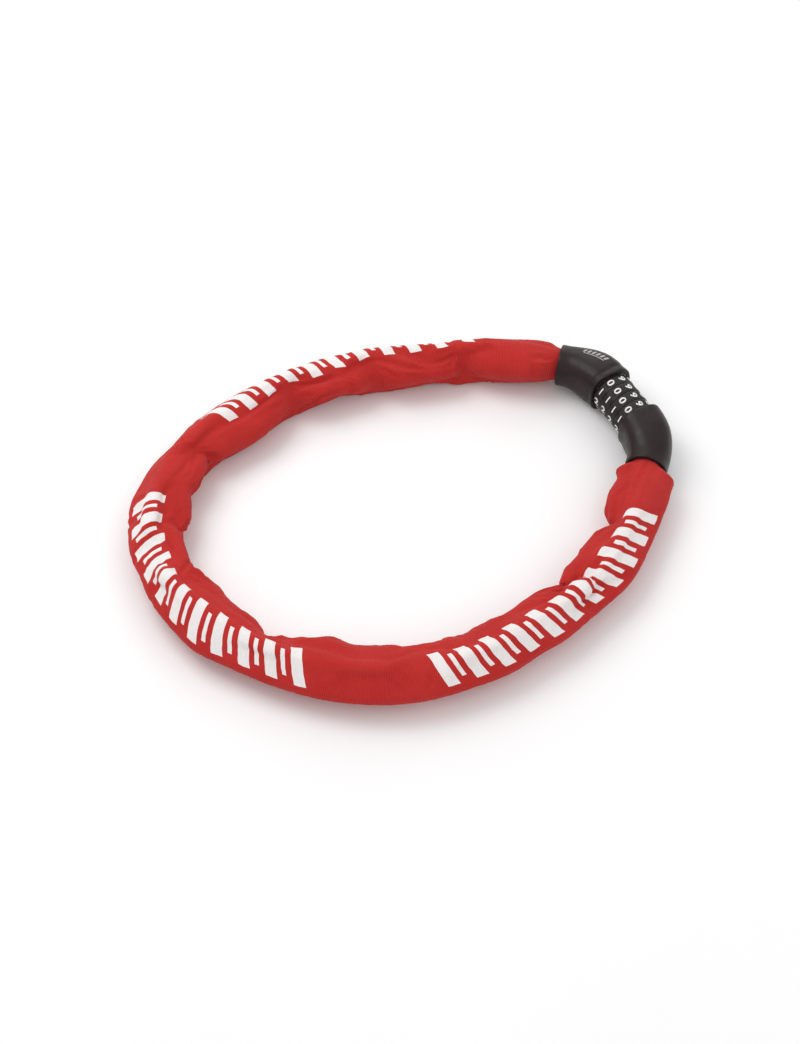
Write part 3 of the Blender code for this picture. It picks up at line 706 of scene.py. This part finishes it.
def sleeve_line():
    """The cloth's centreline: points, side vectors and distance along it."""
    body_mouth, body_heading = mouth_frame(-1)
    plug_mouth, plug_heading = mouth_frame(1)
    knots = [body_mouth - back * direction(body_heading) for back in (LINE_PAST, TUCK)]
    knots.append(middle("chain_pin_body"))
    knots += [middle(f"link_{i:02d}") for i in range(1, LINK_COUNT + 1)]
    knots.append(middle("chain_pin_plug"))
    knots += [plug_mouth - back * direction(plug_heading) for back in (TUCK, LINE_PAST)]
    for knot in knots:
        knot.z = AXIS_Z
    fine = []
    for p0, p1, p2, p3 in zip(knots, knots[1:], knots[2:], knots[3:]):
        for t in np.arange(LINE_STEPS) / LINE_STEPS:
            cubic = (2 * p0 - 5 * p1 + 4 * p2 - p3) * t**2 + (3 * p1 - p0 - 3 * p2 + p3) * t**3
            fine.append(0.5 * (2 * p1 + (p2 - p0) * t + cubic))
    fine.append(knots[-2])
    fine = np.array([tuple(p) for p in fine])
    lengths = np.linalg.norm(np.diff(fine, axis=0), axis=1)
    along = np.concatenate([[0], np.cumsum(lengths)])
    count = int(round(along[-1] / RING_STEP)) + 1
    at = np.linspace(0, along[-1], count)
    centre = np.stack([np.interp(at, along, fine[:, k]) for k in range(3)], 1)
    ahead = np.gradient(centre, axis=0)
    ahead /= np.linalg.norm(ahead, axis=1)[:, None]
    outer = np.stack([ahead[:, 1], -ahead[:, 0], 0 * ahead[:, 0]], 1)
    return centre, outer, at


def section_angles(count):
    """Angles round the section, from its bottom over the outer side; 0 is outward, 90 is up."""
    return -math.pi / 2 + 2 * math.pi * np.arange(count) / count


def hills(places, s):
    """The sum of smooth hills at s, each with a place, a height and a width."""
    return sum(height * math.exp(-(((s - place) / width) ** 2)) for place, height, width in places)


def draped_start(centre, outer, at):
    """The cloth before it settles: a flat tube, tipped outward at the back, puckered inside."""
    random = np.random.default_rng(SEED)
    total = at[-1]
    rings = np.zeros((len(at), RING_SIDES, 3))
    for i, s in enumerate(at):
        from_end = min(s, total - s)
        flare = BODY_FLARE if s < total / 2 else PLUG_FLARE
        full = float(smooth((from_end - TUCK - MOUTH_EDGE) / flare))
        tip = math.radians(np.interp(s / total, *TIP))
        angles = section_angles(RING_SIDES) + math.radians(np.interp(s / total, *TWIST))
        wide, high = [END_RADIUS + (half - END_RADIUS) * full for half in START_HALF]
        x = wide * np.cos(angles)
        y = high * np.sin(angles)
        x = x + hills(OUTER_WAVES, s) * full * np.clip(np.cos(angles), 0, 1)
        pucker = min(hills(PUCKERS, s), PUCKER_MOST)
        x = x + PUCKER_DEPTH * pucker * full * np.clip(-np.cos(angles), 0, 1)
        across = x * math.cos(tip) - y * math.sin(tip)
        above = x * math.sin(tip) + y * math.cos(tip)
        rings[i] = centre[i] + np.outer(across, outer[i]) + np.outer(above, (0, 0, 1))
    rings += random.normal(0, UNEVEN, rings.shape)
    rings[:, :, 2] = np.maximum(rings[:, :, 2], START_CLEAR)
    return rings


def cloth_lengths(centre, outer):
    """Distance along the cloth at each ring. It is as long as the ring's outer side."""
    edge = centre + OUTER_REACH * outer
    step = np.maximum(
        np.linalg.norm(np.diff(edge, axis=0), axis=1),
        np.linalg.norm(np.diff(centre, axis=0), axis=1),
    )
    return np.concatenate([[0], np.cumsum(step * SLACK)])


def flat_tube(at, lengths):
    """The cloth at rest: a straight flattened tube that narrows at its clamped ends."""
    angles = section_angles(RING_SIDES)
    full_radius = CLOTH_ROUND / (2 * math.pi)
    rest = np.zeros((len(at), RING_SIDES, 3))
    for i, s in enumerate(at):
        full = float(smooth((min(s, at[-1] - s) - TUCK) / END_TAPER))
        share = (END_RADIUS + (full_radius - END_RADIUS) * full) / full_radius
        rest[i, :, 0] = lengths[i]
        rest[i, :, 1] = FLAT_HALF[0] * share * np.cos(angles)
        rest[i, :, 2] = FLAT_HALF[1] * share * np.sin(angles)
    return rest


# how the woven cloth stretches, bends and settles, and how it meets what it lies on
WEAVE = {
    "quality": 8,
    "mass": 0.1,
    "air_damping": 1.5,
    "tension_stiffness": 80,
    "compression_stiffness": 80,
    "shear_stiffness": 24,
    "bending_stiffness": 0.02,
    "tension_damping": 15,
    "compression_damping": 15,
    "shear_damping": 10,
    "bending_damping": 1,
    "vertex_group_mass": "clamped",
    "pin_stiffness": 10,
    "use_pressure": True,
    "uniform_pressure_force": 8,
}
TOUCH = {
    "use_collision": True,
    "distance_min": 0.006,
    "collision_quality": 3,
    "use_self_collision": False,
}
COLLIDER_SKIN = 0.008
GRAVITY_SHARE = 0.3  # a share of the real one: the sleeve is stiff enough to stand up


def collider(name, vertices, faces, friction):
    """Something that the cloth lies on, in the solver's own scale."""
    mesh = bpy.data.meshes.new(name)
    mesh.from_pydata(vertices, [], faces)
    mesh.update()
    made = bpy.data.objects.new(name, mesh)
    SCENE.collection.objects.link(made)
    made.modifiers.new("collision", "COLLISION")
    made.collision.thickness_outer = COLLIDER_SKIN
    made.collision.cloth_friction = friction
    made.collision.damping = 0.5
    return made


def edge_columns(share, side):
    """The columns of a ring at its outer (1) or inner (-1) edge."""
    angles = section_angles(RING_SIDES) + math.radians(np.interp(share, *TWIST))
    return [j for j in range(RING_SIDES) if side * math.cos(angles[j]) > HELD_EDGE]


def settle(start, rest, at):
    """Lets the cloth settle on the chain and the floor, and returns its rings.

    Its ends are held in the mouths, and its edges softly near where they start.
    """
    rings, sides = start.shape[:2]
    mesh = bpy.data.meshes.new("sleeve_sim")
    mesh.from_pydata((start.reshape(-1, 3) * SIM_SCALE).tolist(), [], grid_quads(rings, sides))
    mesh.update()
    ring = rings // 2
    away = Vector(start[ring, 0] - start[ring].mean(0))
    if mesh.polygons[ring * sides].normal.dot(away) < 0:
        mesh.flip_normals()
    tube = bpy.data.objects.new("sleeve_sim", mesh)
    SCENE.collection.objects.link(tube)
    tube.shape_key_add(name="Basis")
    key = tube.shape_key_add(name="rest")
    key.data.foreach_set("co", (rest.reshape(-1, 3) * SIM_SCALE).ravel())
    key.value = 0
    clamped = tube.vertex_groups.new(name="clamped")
    held = [i for i, s in enumerate(at) if min(s, at[-1] - s) < TUCK - CLAMP_SHORT]
    clamped.add([i * sides + j for i in held for j in range(sides)], 1.0, "REPLACE")
    free = [i for i in range(rings) if i not in held]
    for side, hold in ((1, OUTER_HOLD), (-1, INNER_HOLD)):
        rim = [i * sides + j for i in free for j in edge_columns(at[i] / at[-1], side)]
        clamped.add(rim, hold, "REPLACE")
    vertices, faces = [], []
    for name, part in NODES.items():
        if name.startswith("link_") or name in ("body_core", "plug_core"):
            first = len(vertices)
            vertices += [tuple(v.co * SIM_SCALE) for v in part.data.vertices]
            faces += [tuple(first + i for i in p.vertices) for p in part.data.polygons]
    chain = collider("chain_collider", vertices, faces, 5)
    ground = collider("floor_collider", square(3), [(0, 1, 2, 3)], 10)
    cloth = tube.modifiers.new("cloth", "CLOTH")
    for setting, value in WEAVE.items():
        setattr(cloth.settings, setting, value)
    for setting, value in TOUCH.items():
        setattr(cloth.collision_settings, setting, value)
    cloth.settings.rest_shape_key = key
    cloth.settings.effector_weights.gravity = GRAVITY_SHARE
    cloth.point_cache.frame_start = 1
    cloth.point_cache.frame_end = SIM_FRAMES
    for step in range(1, SIM_FRAMES + 1):
        SCENE.frame_set(step)
    settled = tube.evaluated_get(bpy.context.evaluated_depsgraph_get())
    shape = settled.to_mesh()
    flat = np.zeros(len(shape.vertices) * 3)
    shape.vertices.foreach_get("co", flat)
    settled.to_mesh_clear()
    for made in (tube, chain, ground):
        bpy.data.objects.remove(made)
    SCENE.frame_set(1)
    return flat.reshape(rings, sides, 3) / SIM_SCALE


MOUTH_PLAY = 0.0004  # how far past END_RADIUS the cloth may be inside a mouth
MOUTH_SLOPE = 5.0  # how steeply it may widen outside
MOUTH_NEAR = 0.03  # cloth further away than this belongs to another part of the ring


def stay_in_mouths(rings):
    """Keeps the cloth inside each mouth's wall where it goes in."""
    for sign in (-1, 1):
        point, heading = mouth_frame(sign)
        centre = np.array(point)
        out = np.array(direction(heading))
        away = rings - centre
        ahead = away @ out
        radial = away - ahead[..., None] * out
        reach = np.linalg.norm(radial, axis=-1)
        allowed = END_RADIUS + MOUTH_PLAY + MOUTH_SLOPE * np.clip(ahead - MOUTH_EDGE, 0, 1)
        near = np.linalg.norm(away, axis=-1) < MOUTH_NEAR
        shrink = np.where(near & (reach > allowed), allowed / np.maximum(reach, 1e-9), 1.0)
        rings = centre + ahead[..., None] * out + radial * shrink[..., None]
    return rings


def finer(rings, times, closed):
    """Smooth cubic points between the rings, or between the points of each ring."""
    count = len(rings)
    made = []
    for i in range(count if closed else count - 1):
        if closed:
            p = [rings[(i + k) % count] for k in (-1, 0, 1, 2)]
        else:
            p = [rings[min(max(i + k, 0), count - 1)] for k in (-1, 0, 1, 2)]
        for k in range(times):
            t = k / times
            cubic = (2 * p[0] - 5 * p[1] + 4 * p[2] - p[3]) * t**2
            cubic = cubic + (3 * p[1] - p[0] - 3 * p[2] + p[3]) * t**3
            made.append(0.5 * (2 * p[1] + (p[2] - p[0]) * t + cubic))
    if not closed:
        made.append(rings[-1])
    return np.array(made)


def vertex_normals(rings):
    """Outward normals of the whole tube, so that its pieces shade as one cloth."""
    along = np.gradient(rings, axis=0)
    around = np.roll(rings, -1, axis=1) - np.roll(rings, 1, axis=1)
    normal = np.cross(around, along)
    normal /= np.maximum(np.linalg.norm(normal, axis=2), 1e-12)[..., None]
    away = rings - rings.mean(1)[:, None]
    if (normal * away).sum() < 0:
        normal = -normal
    return normal


def sleeve_piece(name, rings, normals, lengths, look):
    """A stretch of the sleeve as one surface, with its share of the cloth's UVs and normals."""
    count, sides = rings.shape[:2]
    faces = grid_quads(count, sides)
    middle_ring = count // 2
    a, b, c, d = faces[middle_ring * sides]
    flat = rings.reshape(-1, 3)
    face_normal = np.cross(flat[b] - flat[a], flat[d] - flat[a])
    turned_round = face_normal @ normals.reshape(-1, 3)[a] < 0
    if turned_round:
        faces = [face[::-1] for face in faces]
    made = mesh_object(name, flat.tolist(), faces, look)
    layer = made.data.uv_layers.new(name="weave")
    uvs = []
    for polygon in made.data.polygons:
        ring_of = [v // sides for v in polygon.vertices]
        side_of = [v % sides for v in polygon.vertices]
        wraps = max(side_of) - min(side_of) > 1
        for i, j in zip(ring_of, side_of):
            turn = sides if wraps and j == 0 else j
            uvs += [turn / sides * CLOTH_ROUND, lengths[i]]
    layer.data.foreach_set("uv", uvs)
    made.data.normals_split_custom_set_from_vertices([tuple(n) for n in normals.reshape(-1, 3)])
    return made


RUNS = ((1, 3), (4, 7), (8, 11), (12, 15), (16, 19), (20, 23))  # the links that move as one


def print_zones(at, lengths):
    """The printed stretches along the cloth. Each starts and ends with a whole wide bar."""
    zones = []
    for zone in ZONES:
        low, high = np.interp(zone, at, lengths) / PRINT_PITCH
        last = round(high - PRINT_THICK) + PRINT_THICK + PRINT_MARGIN
        zones.append(((round(low) - PRINT_MARGIN) * PRINT_PITCH, last * PRINT_PITCH))
    return zones


def sleeve():
    centre, outer, at = sleeve_line()
    lengths = cloth_lengths(centre, outer)
    rings = draped_start(centre, outer, at)
    rings = settle(rings, flat_tube(at, lengths), at)
    rings = stay_in_mouths(rings)
    rings[:, :, 2] = np.maximum(rings[:, :, 2], FLOOR_CLEAR)
    rings = finer(rings, FINER, closed=False)
    rings = np.swapaxes(finer(np.swapaxes(rings, 0, 1), FINER, closed=True), 0, 1)
    lengths = np.interp(np.arange(len(rings)) / FINER, np.arange(len(lengths)), lengths)
    at = np.interp(np.arange(len(rings)) / FINER, np.arange(len(at)), at)
    line = np.stack([rings[:, :, k].mean(1) for k in range(3)], 1)
    normals = vertex_normals(rings)
    look = woven_red(print_zones(at, lengths), PRINT_AT)

    def ring_near(point):
        return int(np.argmin(np.linalg.norm((line - np.array(point))[:, :2], axis=1)))

    cuts = [0]
    for first, last in RUNS[1:]:
        cuts.append(ring_near((middle(f"link_{first:02d}") + middle(f"link_{last:02d}")) / 2))
    cuts.append(len(rings) - 1)
    for k, (start, stop) in enumerate(zip(cuts, cuts[1:]), 1):
        piece = sleeve_piece(
            f"sleeve_cloth_{k}",
            rings[start : stop + 1],
            normals[start : stop + 1],
            lengths[start : stop + 1],
            look,
        )
        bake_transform(piece)
        if k == 1:
            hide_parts(*[n for n in NODES if n.startswith("sleeve_") and "clamp" not in n])


# ---- other CAD nodes --------------------------------------------------------------------------
def finish_metal():
    looks = {
        CAST_ZINC: ("body_core", "plug_core", "reset_collar"),
        PLATED_STEEL: ("spindle", "bolt", "chain_pin_", "sleeve_clamp_"),
        SPRING: ("collar_clip", "click_spring", "dial_washer"),
        CHAIN: ("link_",),
        BRASS: ("tumbler_",),
    }
    for name, part in NODES.items():
        for look, starts in looks.items():
            if name.startswith(starts):
                part.data.materials.clear()
                part.data.materials.append(look)


# ---- camera, light and floor ------------------------------------------------------------------
FLOOR_HALF = 40.0
FLOOR_DROP = 0.0002
SKY = 0.78
# each lamp's name, place, width and watts
LAMPS = (
    ("key", (-0.55, 0.35, 0.95), 0.70, 5.0),
    ("fill", (0.75, -0.45, 0.75), 0.90, 1.5),
    ("back", (0.10, 0.95, 0.55), 0.60, 1.5),
)
LENS = 68.1  # mm, on a 36 mm sensor
CAMERA_RAISED = math.radians(52.0)
CAMERA_AIM = Vector((-0.00273, 0.00044, 0))
CAMERA_AWAY = 1.2


def studio():
    floor_look, tree, shader = new_material("floor_paper", 0.8, 0.0)
    place = object_place(tree)
    shade = mix_colour(tree, noise(tree, place, 6.0, 3.0), (0.90, 0.90, 0.90), (0.93, 0.93, 0.93))
    tree.links.new(shade, shader.inputs["Base Color"])
    tree.links.new(bump(tree, noise(tree, place, 900.0), 0.1, 0.0001), shader.inputs["Normal"])
    floor = mesh_object("studio_floor", square(FLOOR_HALF), [(0, 1, 2, 3)], floor_look)
    floor.location.z = -FLOOR_DROP
    world = bpy.data.worlds.new("studio")
    world.use_nodes = True
    background = world.node_tree.nodes["Background"]
    background.inputs["Color"].default_value = (1.0, 1.0, 1.0, 1.0)
    background.inputs["Strength"].default_value = SKY
    SCENE.world = world
    for name, at, size, watts in LAMPS:
        lamp = bpy.data.lights.new(name, "AREA")
        lamp.energy = watts
        lamp.size = size
        made = bpy.data.objects.new(name, lamp)
        made.location = at
        made.rotation_euler = (-Vector(at)).to_track_quat("-Z", "Y").to_euler()
        SCENE.collection.objects.link(made)


def camera():
    lens = bpy.data.cameras.new("camera")
    lens.lens = LENS
    lens.sensor_width = 36.0
    made = bpy.data.objects.new("camera", lens)
    back = Vector((0, -math.cos(CAMERA_RAISED), math.sin(CAMERA_RAISED)))
    made.location = CAMERA_AIM + CAMERA_AWAY * back
    made.rotation_euler = (-back).to_track_quat("-Z", "Y").to_euler()
    SCENE.collection.objects.link(made)
    SCENE.camera = made


SCENE.view_settings.view_transform = "Standard"
camera()
studio()
housings()
dials()
sleeve()
finish_metal()
